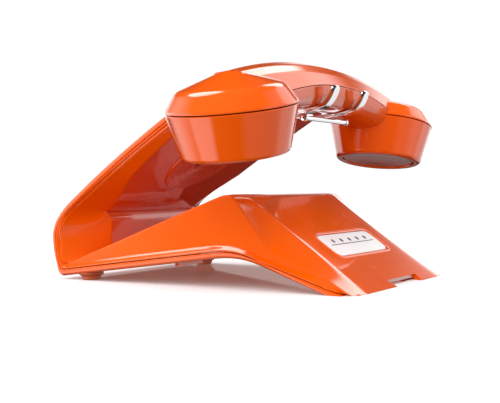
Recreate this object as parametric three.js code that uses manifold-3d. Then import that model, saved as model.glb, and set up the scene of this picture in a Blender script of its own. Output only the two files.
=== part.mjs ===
// Desk telephone: a folded wedge base with a dial arm, chrome cradle hooks and a lift-off handset.
// Millimetres, +Z up. x runs across the phone, y from the front bend to the rear edge, z up from the table.
import * as THREE from 'three';
import { mergeVertices } from 'three/addons/utils/BufferGeometryUtils.js';
import Module from 'manifold-3d';

const wasm = await Module();
wasm.setup();

// ---- Driving dimensions ----
const GAP = 0.3;              // clearance between pieces that touch
const HALF_WIDTH = 58;        // base, half its width
const CENTRE_Y = 88.15;       // middle of the base from front to rear
const REAR_Y = 167.7;         // rear edge on the table
const ARM_TIP = [102, 93];    // top end of the dial face, (y, z)
const SKIN = 2.2;             // wall of the inner shell
const BELLY_HALF = 53;        // half width of the arm's deep middle
const SLOPE_HALF = 44.8;      // half width of the rear slope
const RIDGE = [106.9, 42.4];  // crest between the ramp and the rear slope, (y, z)
const FAN_LENGTH = 19;        // y over which the crest corner turns into the leaning side
const LIP_END_Y = 163.6;      // where the inner shell's lip runs out on the table
const CORNER_R = 12.7;        // plan radius of the rear corners and of the arm's top corners
const WELD = 0.004;           // vertices of one piece closer than this are one
const CURVE_STEPS = 7;        // chords for each curved stretch of a side line

const DIAL_CENTRE = [61, 67.5];
const DIAL_TILT = THREE.MathUtils.degToRad(33.9);
const DIAL_R = 39.3;
const RING_R = 42;
const KEY_COUNT = 12;
const KEY_PITCH_R = 31;
const KEY_R = 5.6;
const FUNCTION_PITCH_R = 20.5;
const FUNCTION_R = 3.2;
const DISPLAY_R = 15.5;

const PLATE_SIZE = [58, 14.7];    // name plate, width and height
const PLATE_Y = 141.5;
const HOOK_X = 17;
const HOOK_WIDTH = 6;
const HOOK_THICK = 2;

const GRIP_Y = 122.8;
const GRIP_SECTION = [[13.4, 0], [9.5, 5.8], [6.2, 8.8], [0, 11]];   // half the upper shell, (y, z) from the seam
const GRIP_BELOW = [[13.4, 0], [12.2, -5.5], [8.5, -9.2], [4, -10.6], [0, -10.8]];
const GRIP_SEAM_Z = 91.3;
const GRIP_DROP = 0.0015;     // the arch falls by this times x squared
const GRIP_REACH = 82;
const CUP_X = 80.3;
const CUP_Z = 76.9;
const CUP_TILT = THREE.MathUtils.degToRad(11);
const CUP_R = 27.5;
const MOUTH_R = 22.4;
const CUP_DEPTH = 19.7;
const CAP_EDGE = [22.4, 8.4];
const CAP_TOP = [3, 14.6];
const SHELL_WALL = 2;

// ---- Finishes ----
const finish = (color, roughness, metalness = 0) =>
  new THREE.MeshStandardMaterial({ color, roughness, metalness });
const orange = finish(0xe8450c, 0.12);
const footRubber = finish(0xb5421a, 0.5);
const chrome = finish(0xd8d9db, 0.08, 1);
const silver = finish(0xd5d6d6, 0.3, 0.6);
const darkGloss = finish(0x1b1c1f, 0.15);
const keyWhite = finish(0xf1efe9, 0.25);
const glass = finish(0x20262b, 0.05);
const board = finish(0x1f6b3a, 0.5);
const black = finish(0x202022, 0.45);
const steel = finish(0x8c8f92, 0.35, 0.9);
const gold = finish(0xd7a63c, 0.25, 1);
const silicone = finish(0xbfc2c4, 0.7);

// ---- Solids: closed meshes to and from the boolean library ----
function toSolid(geometry, matrix = new THREE.Matrix4()) {
  const bare = new THREE.BufferGeometry();
  const source = geometry.index ? geometry.toNonIndexed() : geometry;
  bare.setAttribute('position', source.getAttribute('position').clone());
  bare.applyMatrix4(matrix);
  const merged = mergeVertices(bare, 1e-4);
  const p = merged.getAttribute('position').array;
  const triangles = [];
  let volume = 0;
  for (let i = 0; i < merged.index.count; i += 3) {
    const [a, b, c] = [0, 1, 2].map((k) => merged.index.array[i + k]);
    if (a === b || b === c || c === a) continue;
    triangles.push([a, b, c]);
    const at = (v) => new THREE.Vector3(p[3 * v], p[3 * v + 1], p[3 * v + 2]);
    volume += at(a).dot(at(b).cross(at(c)));
  }
  const outward = volume < 0 ? triangles.map(([a, b, c]) => [a, c, b]) : triangles;
  return new wasm.Manifold(new wasm.Mesh({
    numProp: 3,
    vertProperties: new Float32Array(p),
    triVerts: new Uint32Array(outward.flat()),
  }));
}

// The mesh of a solid, with vertices closer than the weld merged so that no triangle is thinner than that.
function toGeometry(solid) {
  const mesh = solid.getMesh();
  const geometry = new THREE.BufferGeometry();
  geometry.setAttribute('position', new THREE.BufferAttribute(new Float32Array(mesh.vertProperties), 3));
  geometry.setIndex(new THREE.BufferAttribute(new Uint32Array(mesh.triVerts), 1));
  const merged = mergeVertices(geometry, WELD);
  const index = [];
  for (let i = 0; i < merged.index.count; i += 3) {
    const [a, b, c] = [0, 1, 2].map((k) => merged.index.array[i + k]);
    if (a !== b && b !== c && c !== a) index.push(a, b, c);
  }
  merged.setIndex(index);
  return merged;
}

const joined = (solids) => solids.reduce((whole, piece) => whole.add(piece));
const largest = (solid) => solid.decompose().sort((a, b) => b.volume() - a.volume())[0];
const cut = (solid, tools) => tools.reduce((whole, tool) => whole.subtract(tool), solid);

// ---- Frames and basic shapes ----
const vector = (x, y, z) => new THREE.Vector3(x, y, z);
const SIDEWAYS = new THREE.Matrix4().makeBasis(vector(0, 1, 0), vector(0, 0, 1), vector(1, 0, 0));
const FACING = new THREE.Matrix4().makeBasis(vector(1, 0, 0), vector(0, 0, 1), vector(0, -1, 0));
const at = (x, y, z) => new THREE.Matrix4().makeTranslation(x, y, z);
const tiltX = (x, y, z, angle) => at(x, y, z).multiply(new THREE.Matrix4().makeRotationX(angle));
const tiltY = (x, y, z, angle) => at(x, y, z).multiply(new THREE.Matrix4().makeRotationY(angle));

const SIDES = [-1, 1];

const points = (list) => list.map(([a, b]) => new THREE.Vector2(a, b));

// A (y, z) outline carried across x from low to high.
function acrossX(outline, low, high) {
  const geometry = new THREE.ExtrudeGeometry(new THREE.Shape(outline), { depth: high - low, bevelEnabled: false });
  return toSolid(geometry, at(low, 0, 0).multiply(SIDEWAYS));
}

// An (x, z) outline carried along y from low to high.
function alongY(outline, low, high) {
  const geometry = new THREE.ExtrudeGeometry(new THREE.Shape(outline), { depth: high - low, bevelEnabled: false });
  return toSolid(geometry, at(0, high, 0).multiply(FACING));
}

// An (x, y) outline carried up z from low to high, in the frame given.
function upZ(outline, low, high, frame = new THREE.Matrix4()) {
  const geometry = new THREE.ExtrudeGeometry(new THREE.Shape(outline), { depth: high - low, bevelEnabled: false });
  return toSolid(geometry, frame.clone().multiply(at(0, 0, low)));
}

// An (r, z) profile turned about the z axis of the frame given.
function turned(profile, frame = new THREE.Matrix4(), segments = 24) {
  const geometry = new THREE.LatheGeometry(points(profile), segments);
  geometry.rotateX(Math.PI / 2);
  return toSolid(geometry, frame);
}

const disc = (r, low, high, frame, segments) => turned([[0, low], [r, low], [r, high], [0, high]], frame, segments);

function block(width, depth, height, frame) {
  return toSolid(new THREE.BoxGeometry(width, depth, height), frame);
}

function roundedRectangle(halfX, halfY, r) {
  const shape = new THREE.Shape();
  shape.moveTo(-halfX + r, -halfY).lineTo(halfX - r, -halfY);
  shape.absarc(halfX - r, -halfY + r, r, -Math.PI / 2, 0).absarc(halfX - r, halfY - r, r, 0, Math.PI / 2);
  shape.absarc(-halfX + r, halfY - r, r, Math.PI / 2, Math.PI);
  shape.absarc(-halfX + r, -halfY + r, r, Math.PI, 1.5 * Math.PI);
  return shape.getPoints(4);
}

// ---- Side lines of the folded base, (y, z), from the arm's tip round the front to the rear ----
function outerLine() {
  return new THREE.Path()
    .moveTo(...ARM_TIP)
    .quadraticCurveTo(58, 68.1, 20, 38)
    .quadraticCurveTo(8.6, 29, 8.6, 20.7)
    .quadraticCurveTo(8.6, 14, 11.2, 6.6)
    .quadraticCurveTo(12, 2, 15, 1.5)
    .lineTo(100, 12.8)
    .quadraticCurveTo(112.2, 14.4, 122, 11)
    .lineTo(153.2, 0)
    .getPoints(CURVE_STEPS);
}

function partingLine() {
  return new THREE.Path()
    .moveTo(103.5, 90.4)
    .quadraticCurveTo(59.7, 65.6, 21.9, 35.6)
    .quadraticCurveTo(11.5, 27.3, 11.5, 20.7)
    .quadraticCurveTo(11.5, 14, 13.4, 7.6)
    .quadraticCurveTo(13.9, 4.6, 17, 4.9)
    .lineTo(100, 15.8)
    .quadraticCurveTo(110.5, 17.2, 122, 13)
    .lineTo(161.6, 0)
    .getPoints(CURVE_STEPS);
}

// A line moved sideways by a distance, to the left of its direction of travel when positive.
function shifted(line, distance) {
  return line.map((point, i) => {
    const before = line[Math.max(i - 1, 0)];
    const after = line[Math.min(i + 1, line.length - 1)];
    const along = after.clone().sub(before).normalize();
    return new THREE.Vector2(point.x - along.y * distance, point.y + along.x * distance);
  });
}

const mix = (a, b, t) => a + (b - a) * t;
const clamp01 = (t) => Math.min(Math.max(t, 0), 1);
const slopeZ = (y) => (RIDGE[1] * (REAR_Y - y)) / (REAR_Y - RIDGE[0]);
const lipZ = (y) => 18.7 - 0.1455 * (y - 108) - 0.003417 * (y - 108) ** 2;

// Inner face of the fold at one x: belly of the arm, throat, ramp, crest and rear slope.
// depth 0 is the lip beside the parting line, 1 the deep middle; lean 0 is the slope, 1 the outer side.
function innerLine(depth, lean) {
  const blend = (lip, middle) => [mix(lip[0], middle[0], depth), mix(lip[1], middle[1], depth)];
  const tip = blend([104.5, 88.6], [105.8, 86.2]);
  const knee = blend([75.3, 72.1], [76.2, 68.4]);
  const pull = blend([50, 57.6], [52.1, 53.0]);
  const corner = blend([25.9, 38], [27.4, 32.4]);
  const throatPull = blend([12.9, 28.4], [29.4, 30.6]);
  const throat = blend([12.8, 15.8], [29.6, 26.4]);
  const foot = blend([16.5, 7.4], [29.2, 12.9]);
  const line = new THREE.Path().moveTo(...tip).lineTo(...knee).quadraticCurveTo(...pull, ...corner);
  line.quadraticCurveTo(...throatPull, ...throat).lineTo(...foot).lineTo(...RIDGE);
  const list = line.getPoints(CURVE_STEPS);
  for (const y of [RIDGE[0] + FAN_LENGTH / 2, RIDGE[0] + FAN_LENGTH, 140, 155]) {
    const share = lean * clamp01((y - RIDGE[0]) / FAN_LENGTH);
    list.push(new THREE.Vector2(y, mix(slopeZ(y), lipZ(y), share)));
  }
  return [...list, new THREE.Vector2(mix(REAR_Y, LIP_END_Y, lean), 0)];
}

// Plan outline of the whole base with its rear corners rounded.
function planOutline() {
  const shape = new THREE.Shape();
  shape.moveTo(-HALF_WIDTH, 0).lineTo(HALF_WIDTH, 0).lineTo(HALF_WIDTH, REAR_Y - CORNER_R);
  shape.quadraticCurveTo(HALF_WIDTH, REAR_Y, HALF_WIDTH - CORNER_R, REAR_Y).lineTo(-HALF_WIDTH + CORNER_R, REAR_Y);
  shape.quadraticCurveTo(-HALF_WIDTH, REAR_Y, -HALF_WIDTH, REAR_Y - CORNER_R);
  return shape.getPoints(5);
}

// What is left outside the rounded top corners of the dial arm, as two cutting blocks.
function armCornerTools() {
  const frame = tiltX(0, ARM_TIP[0], ARM_TIP[1], DIAL_TILT);
  const corner = (side) => {
    const shape = new THREE.Shape();
    shape.moveTo(side * (HALF_WIDTH + 1), 6).lineTo(side * (HALF_WIDTH + 1), -CORNER_R);
    shape.lineTo(side * HALF_WIDTH, -CORNER_R);
    shape.quadraticCurveTo(side * HALF_WIDTH, 0.4, side * (HALF_WIDTH - CORNER_R), 0.4);
    shape.lineTo(side * (HALF_WIDTH - CORNER_R), 6);
    return upZ(shape.getPoints(5), -14, 6, frame);
  };
  return [corner(1), corner(-1)];
}

const SLOPE_TILT = -Math.atan2(RIDGE[1], REAR_Y - RIDGE[0]);
const ARM_FOOT_Z = 60;        // side-line points above this height belong to the arm, not to the rear
const HOLLOW = { frontHalf: 51, rearHalf: 42 };

// ---- Dial frame: z out of the dial face, y up the arm ----
const DIAL_FRAME = tiltX(0, DIAL_CENTRE[0], DIAL_CENTRE[1], DIAL_TILT);
const onDial = (x, y) => DIAL_FRAME.clone().multiply(at(x, y, 0));
const digitAngle = (i) => Math.PI / 2 - (2 * Math.PI * (i + 1)) / KEY_COUNT;
const digitFrame = (i) => onDial(KEY_PITCH_R * Math.cos(digitAngle(i)), KEY_PITCH_R * Math.sin(digitAngle(i)));
const functionAngle = (i) => THREE.MathUtils.degToRad(230 + 40 * i);
const functionFrame = (i) =>
  onDial(FUNCTION_PITCH_R * Math.cos(functionAngle(i)), FUNCTION_PITCH_R * Math.sin(functionAngle(i)));

// ---- Underside frames ----
const PAN_TILT = Math.atan2(12.8 - 1.5, 100 - 15);
const panZ = (y) => 1.5 + (y - 15) * Math.tan(PAN_TILT);
const onPan = (x, y) => tiltX(x, y, panZ(y), PAN_TILT);
const SCREW_PLACES = [[-40, 70], [40, 70], [-34, 96], [34, 96]];
const FOOT_SPIGOT_R = 3;
const FOOT_X = 51;
const FOOT_Y = 27.5;
const WELL = { halfX: 30, front: 126, rear: 158.5 };
const PAD = { halfX: 6, halfY: 2, x: 42, y: 155.8, height: 1.1 };

function baseScrew([x, y]) {
  return turned([[0, 0.6], [2.9, 0.6], [2.9, 2.0], [1.3, 2.0], [1.3, 9.2], [0, 9.2]], onPan(x, y), 12);
}

function screwHole([x, y]) {
  return turned([[0, -2], [3.3, -2], [3.3, 2.3], [1.7, 2.3], [1.7, 10], [0, 10]], onPan(x, y), 12);
}

function screwBoss([x, y]) {
  const top = mix(7.4, RIDGE[1], (y - 16.5) / (RIDGE[0] - 16.5)) - 0.8;
  return disc(3.6, panZ(y) + 4.2, top, at(x, y, 0), 12);
}

function outerShell() {
  const face = outerLine();
  const back = shifted(partingLine(), -GAP / 2);
  const rearEnd = new THREE.Vector2(161.2, 0);
  const sheet = acrossX([...face, rearEnd, ...back.slice(0, -1).reverse()], -HALF_WIDTH, HALF_WIDTH);
  const plan = upZ(planOutline(), -1, 120);
  const footHole = (side) => disc(FOOT_SPIGOT_R + 0.5, -3, 9, at(side * FOOT_X, FOOT_Y, 0), 16);
  const padHole = (side) => block(2 * (PAD.halfX + GAP), 2 * (PAD.halfY + GAP), 2 * (PAD.height + GAP),
    at(side * PAD.x, PAD.y, 0));
  const tools = [
    disc(RING_R + GAP, -12, 12, DIAL_FRAME, 40),
    ...armCornerTools(),
    ...SCREW_PLACES.map(screwHole),
    block(2 * WELL.halfX, WELL.rear - WELL.front, 30, at(0, (WELL.rear + WELL.front) / 2, 6)),
    block(2 * NOTCH.half, 8, 20, at(0, WELL.rear + 2, 0)),
    ...SIDES.map(footHole),
    ...SIDES.map(padHole),
    ...speakerSlots(),
  ];
  return cut(sheet.intersect(plan), tools);
}

const SPEAKER = { y: 55, r: 18, slotPitch: 5, slotWidth: 1.8, slotsR: 13 };

// Sound slots through the pan under the loudspeaker.
function speakerSlots() {
  return [-2, -1, 0, 1, 2].map((k) => {
    const y = k * SPEAKER.slotPitch;
    const halfLength = Math.sqrt(SPEAKER.slotsR ** 2 - y ** 2);
    return block(2 * halfLength, SPEAKER.slotWidth, 8, onPan(0, SPEAKER.y + y).multiply(at(0, 0, 1)));
  });
}

// The inner shell before it is hollowed: slices across x whose outlines run from the middle out to the lip.
function innerForm() {
  const inside = shifted(partingLine(), GAP / 2).reverse();
  const slice = (low, high) => {
    const x = (Math.abs(low) + Math.abs(high)) / 2;
    const depth = 1 - clamp01((x - BELLY_HALF) / (HALF_WIDTH - BELLY_HALF));
    const lean = clamp01((x - SLOPE_HALF) / (HALF_WIDTH - SLOPE_HALF));
    return acrossX([...innerLine(depth, lean), ...inside], low, high);
  };
  const steps = [SLOPE_HALF, 49.2, BELLY_HALF, 55.5, HALF_WIDTH];
  const slices = [slice(-SLOPE_HALF, SLOPE_HALF)];
  for (let i = 0; i + 1 < steps.length; i += 1) {
    slices.push(slice(steps[i], steps[i + 1]));
    slices.push(slice(-steps[i + 1], -steps[i]));
  }
  return joined(slices);
}

// The hollow behind the inner shell's skin, open towards the outer shell: one part ahead of the crest, one behind.
function innerHollow() {
  const aheadOfCrest = (point) => point.x < RIDGE[0] || point.y > ARM_FOOT_Z;
  const skin = shifted(innerLine(1, 0), -SKIN).filter(aheadOfCrest);
  const open = shifted(partingLine(), -1).reverse().filter(aheadOfCrest);
  const crest = [[RIDGE[0], RIDGE[1] - 3], [RIDGE[0], 10]];
  const front = acrossX([...skin, ...points(crest), ...open], -HOLLOW.frontHalf, HOLLOW.frontHalf);
  const under = (y) => [y, slopeZ(y) - SKIN / Math.cos(SLOPE_TILT)];
  const rear = [[RIDGE[0] - 1, RIDGE[1] - 3], under(RIDGE[0] + 3), under(162.5), [162, -1], [RIDGE[0] - 1, -1]];
  return [front, acrossX(points(rear), -HOLLOW.rearHalf, HOLLOW.rearHalf)];
}

const onSlope = (x, y) => tiltX(x, y, slopeZ(y), SLOPE_TILT);
const NOTCH = { half: 12.4, topHalf: 9, length: 7.4 };
const CAP_PLACE = { y: 60.9, z: 58.4, tilt: THREE.MathUtils.degToRad(35.6), r: 25 };

function innerShell() {
  const recessShape = roundedRectangle(PLATE_SIZE[0] / 2 + 1.2, PLATE_SIZE[1] / 2 + 1.2, 5);
  const recess = upZ(recessShape, -1.4, 4, onSlope(0, PLATE_Y));
  const notchShape = points([[-NOTCH.half, -2], [NOTCH.half, -2], [NOTCH.topHalf, NOTCH.length],
    [-NOTCH.topHalf, NOTCH.length]]);
  const notch = upZ(notchShape, -8, 4, onSlope(0, REAR_Y));
  const hookSlots = SIDES.map((side) =>
    block(HOOK_WIDTH + 1, 26, HOOK_THICK + 1, at(side * HOOK_X, 101, hookZ(101) - HOOK_THICK / 2)));
  const form = innerForm().intersect(upZ(planOutline(), -1, 120));
  const hollow = cut(form, [...innerHollow(), recess, notch, ...hookSlots, ...armCornerTools()]);
  return cut(hollow.add(joined(SCREW_PLACES.map(screwBoss))), SCREW_PLACES.map(screwHole));
}

// ---- Cradle: two flat chrome hooks out of the arm's top end, joined by a cross rod ----
const hookZ = (y) => 80.2 - (y - 95) * 0.03;

function hookLine() {
  return new THREE.Path()
    .moveTo(90, hookZ(90))
    .lineTo(116, hookZ(116))
    .quadraticCurveTo(130, hookZ(130) - 0.6, 135.4, 82.6)
    .quadraticCurveTo(138.4, 85.4, 139.4, 90.6)
    .getPoints(CURVE_STEPS);
}

function cradleHook(side) {
  const upper = hookLine();
  const lower = shifted(upper, -HOOK_THICK);
  const [low, high] = [side * HOOK_X - HOOK_WIDTH / 2, side * HOOK_X + HOOK_WIDTH / 2];
  const strap = acrossX([...upper, ...lower.reverse()], low, high);
  return strap.subtract(disc(1.4 + GAP, -5, 5, at(side * HOOK_X, PIN_Y, hookZ(PIN_Y)), 12));
}

const ROD = { y: 127, r: 1.2, half: 24 };

function cradleRod() {
  const profile = [[0, -ROD.half], [1.9, -ROD.half], [1.9, -ROD.half + 2], [ROD.r, -ROD.half + 2.4],
    [ROD.r, ROD.half - 2.4], [1.9, ROD.half - 2], [1.9, ROD.half], [0, ROD.half]];
  const frame = tiltY(0, ROD.y, hookZ(ROD.y) - HOOK_THICK - ROD.r - GAP, Math.PI / 2);
  return turned(profile, frame, 12);
}

const PIN_Y = GRIP_Y;

function chargePin(side) {
  const frame = at(side * HOOK_X, PIN_Y, hookZ(PIN_Y));
  return turned([[0, -1.4], [1.4, -1.4], [1.4, 0.1], [0.9, 0.4], [0, 0.4]], frame, 12);
}

// ---- Dial: trim ring, plate, keys, mat, display and circuit board ----
const DIAL_TOP = 1.0;
const keyPlaces = [
  ...Array.from({ length: KEY_COUNT }, (_, i) => ({ frame: digitFrame(i), r: KEY_R })),
  ...Array.from({ length: 3 }, (_, i) => ({ frame: functionFrame(i), r: FUNCTION_R })),
];

function dialPlate() {
  const profile = [[0, -1.2], [DIAL_R - 3, -1.2], [DIAL_R - 3, -4.2], [DIAL_R, -4.2], [DIAL_R, 1.2],
    [DIAL_R - 1, 1.5], [DIAL_R - 2, DIAL_TOP], [0, DIAL_TOP]];
  const holes = keyPlaces.map(({ frame, r }) => disc(r + GAP, -3, 3, frame, 16));
  return cut(turned(profile, DIAL_FRAME, 36), [...holes, disc(DISPLAY_R + GAP, -3, 3, DIAL_FRAME, 24)]);
}

function dialRing() {
  const profile = [[DIAL_R + GAP, -4.2], [RING_R, -4.2], [RING_R, 1.0], [RING_R - 0.7, 1.8],
    [DIAL_R + 1, 1.8], [DIAL_R + GAP, 1.2], [DIAL_R + GAP, -4.2]];
  return turned(profile, DIAL_FRAME, 40);
}

function keyCap({ frame, r }) {
  return turned([[0, -1.5], [r, -1.5], [r, 1.7], [r - 0.7, 2.4], [r - 2.2, 2.7], [0, 2.8]], frame, 16);
}

function displayWindow() {
  return turned([[0, -1.0], [DISPLAY_R, -1.0], [DISPLAY_R, 1.2], [DISPLAY_R - 0.8, 1.6], [0, 1.9]], DIAL_FRAME, 24);
}

const keyMat = () => turned([[DISPLAY_R, -3.3], [DIAL_R - 3.4, -3.3], [DIAL_R - 3.4, -2.4], [DISPLAY_R, -2.4],
  [DISPLAY_R, -3.3]], DIAL_FRAME, 24);
const displayModule = () => block(20, 20, 1.9, DIAL_FRAME.clone().multiply(at(0, 0, -2.3)));
const mainBoard = () => disc(DIAL_R - 3.6, -4.9, -3.6, DIAL_FRAME, 24);

// Round cover on the arm's belly, behind the dial, fitted to the belly's hollow.
function housingCap() {
  const frame = tiltX(0, CAP_PLACE.y, CAP_PLACE.z, Math.PI + CAP_PLACE.tilt);
  const profile = [[0, -2], [CAP_PLACE.r, -2], [CAP_PLACE.r, 0.7], [CAP_PLACE.r - 0.8, 1.2], [CAP_PLACE.r - 8, 1.2],
    [0, 0.8]];
  const cover = turned(profile, frame, 32);
  const lift = new THREE.Vector3(0, Math.sin(CAP_PLACE.tilt), -Math.cos(CAP_PLACE.tilt)).multiplyScalar(GAP);
  return largest(cover.subtract(innerForm().translate([lift.x, lift.y, lift.z])));
}

// ---- Inside the base ----
function loudspeaker() {
  return turned([[0, 4.4], [SPEAKER.r - 4, 4.4], [SPEAKER.r - 4, 4.2], [SPEAKER.r, 4.2], [SPEAKER.r, 5.4],
    [8, 7.6], [8, 9.4], [0, 9.4]], onPan(0, SPEAKER.y), 24);
}

const BOARD_Z = 28.5;
const lineBoard = () => block(54, 36, 1.6, at(0, 103, BOARD_Z));
const SOCKET_Y = 116.5;

function lineSocket() {
  const body = block(13, 14, 11, at(-14, SOCKET_Y, BOARD_Z - 0.8 - GAP - 5.5));
  return body.subtract(block(9.8, 12, 6.8, at(-14, SOCKET_Y + 3, BOARD_Z - 0.8 - GAP - 5.5)));
}

function powerSocket() {
  const frame = tiltX(14, SOCKET_Y + 7, BOARD_Z - 0.8 - GAP - 5.5, Math.PI / 2);
  const body = block(9.5, 14, 11, at(14, SOCKET_Y, BOARD_Z - 0.8 - GAP - 5.5));
  const bore = disc(3, -2, 11, frame, 16);
  return body.subtract(bore);
}

const ballastPlate = () => block(84, 15, 3.6, onPan(0, 84).multiply(at(0, 0, 6.2)));

// A foot stands upright on the table, with a spigot up into a hole in the pan.
function foot(side) {
  const profile = [[0, 0], [4.9, 0], [5.45, 0.5], [5.45, 2.1], [3, 2.1], [3, 5.4], [0, 5.4]];
  return turned(profile, at(side * FOOT_X, FOOT_Y, 0), 20);
}

const rearPad = (side) => block(2 * PAD.halfX, 2 * PAD.halfY, PAD.height, at(side * PAD.x, PAD.y, PAD.height / 2));

function namePlate() {
  return upZ(roundedRectangle(PLATE_SIZE[0] / 2, PLATE_SIZE[1] / 2, 4.5), -1.1, 0.1, onSlope(0, PLATE_Y));
}

// ---- Handset: an arched grip between two cups that face down and inwards ----
const cupFrame = (side) => tiltY(side * CUP_X, GRIP_Y, CUP_Z, side * CUP_TILT);

// The arch of the handset's seam, as far as a reach on each side.
function gripArch(reach) {
  const curve = new THREE.Curve();
  curve.getPoint = (t) => {
    const x = mix(-reach, reach, t);
    return new THREE.Vector3(x, GRIP_Y, GRIP_SEAM_Z - GRIP_DROP * x * x);
  };
  return curve;
}

// Half a (y, z) section, lifted, mirrored and carried along the arch.
function alongArch(half, reach, lift) {
  const near = half.map(([y, z]) => [y, z + lift]);
  const far = near.filter(([y]) => y > 0).map(([y, z]) => [-y, z]).reverse();
  const shape = new THREE.Shape(points([...near, ...far].map(([y, z]) => [y, -z])));
  const extrudePath = gripArch(reach);
  const geometry = new THREE.ExtrudeGeometry(shape, { steps: 14, bevelEnabled: false, extrudePath });
  return toSolid(geometry);
}

function cupOuter(side) {
  return turned([[0, -CUP_DEPTH], [MOUTH_R - 1.5, -CUP_DEPTH], [MOUTH_R, -CUP_DEPTH + 1.5], [CUP_R, -GAP / 2],
    [0, -GAP / 2]], cupFrame(side), 32);
}

function cupHollow(side) {
  return turned([[0, -CUP_DEPTH - 1], [MOUTH_R - 3.4, -CUP_DEPTH - 1], [MOUTH_R - 3.4, -CUP_DEPTH + 2.4],
    [MOUTH_R - SHELL_WALL, -CUP_DEPTH + 2.4], [CUP_R - SHELL_WALL - 0.3, 1], [0, 1]], cupFrame(side), 24);
}

function capOuter(side) {
  return turned([[0, GAP / 2], [CUP_R, GAP / 2], [CUP_R, 0.8], CAP_EDGE, [14, 11.1], CAP_TOP, [0, CAP_TOP[1] + 0.4]],
    cupFrame(side), 32);
}

function capHollow(side) {
  return turned([[0, -1], [CUP_R - SHELL_WALL, -1], [CUP_R - SHELL_WALL, 0.9], [CAP_EDGE[0] - 1.8, CAP_EDGE[1] - 1.4],
    [12.5, 9.6], [0, CAP_TOP[1] - 1.8]], cupFrame(side), 24);
}

function handsetLower() {
  const grip = alongArch(GRIP_BELOW, 62, -GAP / 2);
  const clear = SIDES.map((side) => disc(CUP_R + 0.2, -GAP / 2, 30, cupFrame(side), 32));
  const form = joined([cut(grip, clear), cupOuter(-1), cupOuter(1)]);
  const channel = alongArch([[10.5, 2], [10.2, -5], [7, -8.2], [0, -8.4]], 64, 0);
  const padHoles = SIDES.map((side) => block(4.6, 5.6, 6, at(side * HOOK_X, PIN_Y, 81)));
  return cut(form, [channel, cupHollow(-1), cupHollow(1), ...padHoles]);
}

function handsetUpper() {
  const grip = alongArch(GRIP_SECTION, GRIP_REACH, GAP / 2);
  const clear = SIDES.map((side) => disc(CUP_R + 0.2, -30, GAP / 2, cupFrame(side), 32));
  const form = joined([cut(grip, clear), capOuter(-1), capOuter(1)]);
  const channel = alongArch([[10.8, -2], [7.9, 5.2], [5.2, 7.2], [0, 8.8]], 66, 0);
  return cut(form, [channel, capHollow(-1), capHollow(1)]);
}

// Sound cover in a cup's mouth with a ring of holes.
function soundCover(side, holes) {
  const base = turned([[0, -CUP_DEPTH + 0.5], [MOUTH_R - 3.7, -CUP_DEPTH + 0.5], [MOUTH_R - 3.7, -CUP_DEPTH + 2.2],
    [0, -CUP_DEPTH + 2.2]], cupFrame(side), 24);
  const tools = Array.from({ length: holes }, (_, i) => {
    const angle = (2 * Math.PI * i) / holes;
    const place = at(7 * Math.cos(angle), 7 * Math.sin(angle), 0);
    return disc(1.1, -CUP_DEPTH - 1, -CUP_DEPTH + 4, cupFrame(side).multiply(place), 8);
  });
  return cut(base, tools);
}

const receiver = () => turned([[0, -CUP_DEPTH + 2.8], [14, -CUP_DEPTH + 2.8], [14, -CUP_DEPTH + 5],
  [9, -CUP_DEPTH + 8], [0, -CUP_DEPTH + 8]], cupFrame(-1), 20);
const microphone = () => disc(4.8, -CUP_DEPTH + 2.8, -CUP_DEPTH + 6, cupFrame(1), 16);
const handsetBoard = () => block(64, 17, 1.2, at(0, GRIP_Y, 85.6));

function batteryCell() {
  const frame = at(0, GRIP_Y, 92.6).multiply(new THREE.Matrix4().makeRotationY(Math.PI / 2));
  return turned([[0, -22], [5.2, -22], [5.2, 20.6], [1.8, 20.6], [1.8, 21.6], [0, 21.6]], frame, 14);
}

// Flush contact on the underside of the grip, above a charging pin.
const contactPad = (side) => block(4, 5, 1.6, at(side * HOOK_X, PIN_Y, 81.1));

// ---- Assembly ----
const phone = new THREE.Group();
phone.position.y = -CENTRE_Y;

function add(name, solid, material) {
  const mesh = new THREE.Mesh(toGeometry(solid), material);
  mesh.name = name;
  phone.add(mesh);
}

add('outer_shell', outerShell(), orange);
add('inner_shell', innerShell(), orange);
add('front_foot_left', foot(-1), footRubber);
add('front_foot_right', foot(1), footRubber);
add('rear_pad_left', rearPad(-1), footRubber);
add('rear_pad_right', rearPad(1), footRubber);
add('name_plate', namePlate(), silver);
add('cradle_hook_left', cradleHook(-1), chrome);
add('cradle_hook_right', cradleHook(1), chrome);
add('cradle_rod', cradleRod(), chrome);
add('charge_pin_left', chargePin(-1), gold);
add('charge_pin_right', chargePin(1), gold);
add('dial_ring', dialRing(), chrome);
add('dial_plate', dialPlate(), darkGloss);
const keyNames = ['key_1', 'key_2', 'key_3', 'key_4', 'key_5', 'key_6', 'key_7', 'key_8', 'key_9', 'key_star',
  'key_0', 'key_hash', 'talk_key', 'menu_key', 'end_key'];
keyPlaces.forEach((place, i) => add(keyNames[i], keyCap(place), keyWhite));
add('display_window', displayWindow(), glass);
add('display_module', displayModule(), black);
add('key_mat', keyMat(), silicone);
add('main_board', mainBoard(), board);
add('dial_housing_cap', housingCap(), orange);
add('loudspeaker', loudspeaker(), black);
add('line_board', lineBoard(), board);
add('line_socket', lineSocket(), black);
add('power_socket', powerSocket(), black);
add('ballast_plate', ballastPlate(), steel);
SCREW_PLACES.forEach((place, i) => add(`base_screw_${i + 1}`, baseScrew(place), steel));
add('handset_upper', handsetUpper(), orange);
add('handset_lower', handsetLower(), orange);
add('earpiece_cover', soundCover(-1, 8), orange);
add('mouthpiece_cover', soundCover(1, 3), orange);
add('receiver', receiver(), black);
add('microphone', microphone(), black);
add('handset_board', handsetBoard(), board);
add('battery_cell', batteryCell(), silver);
add('contact_pad_left', contactPad(-1), gold);
add('contact_pad_right', contactPad(1), gold);

export default phone;
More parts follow.
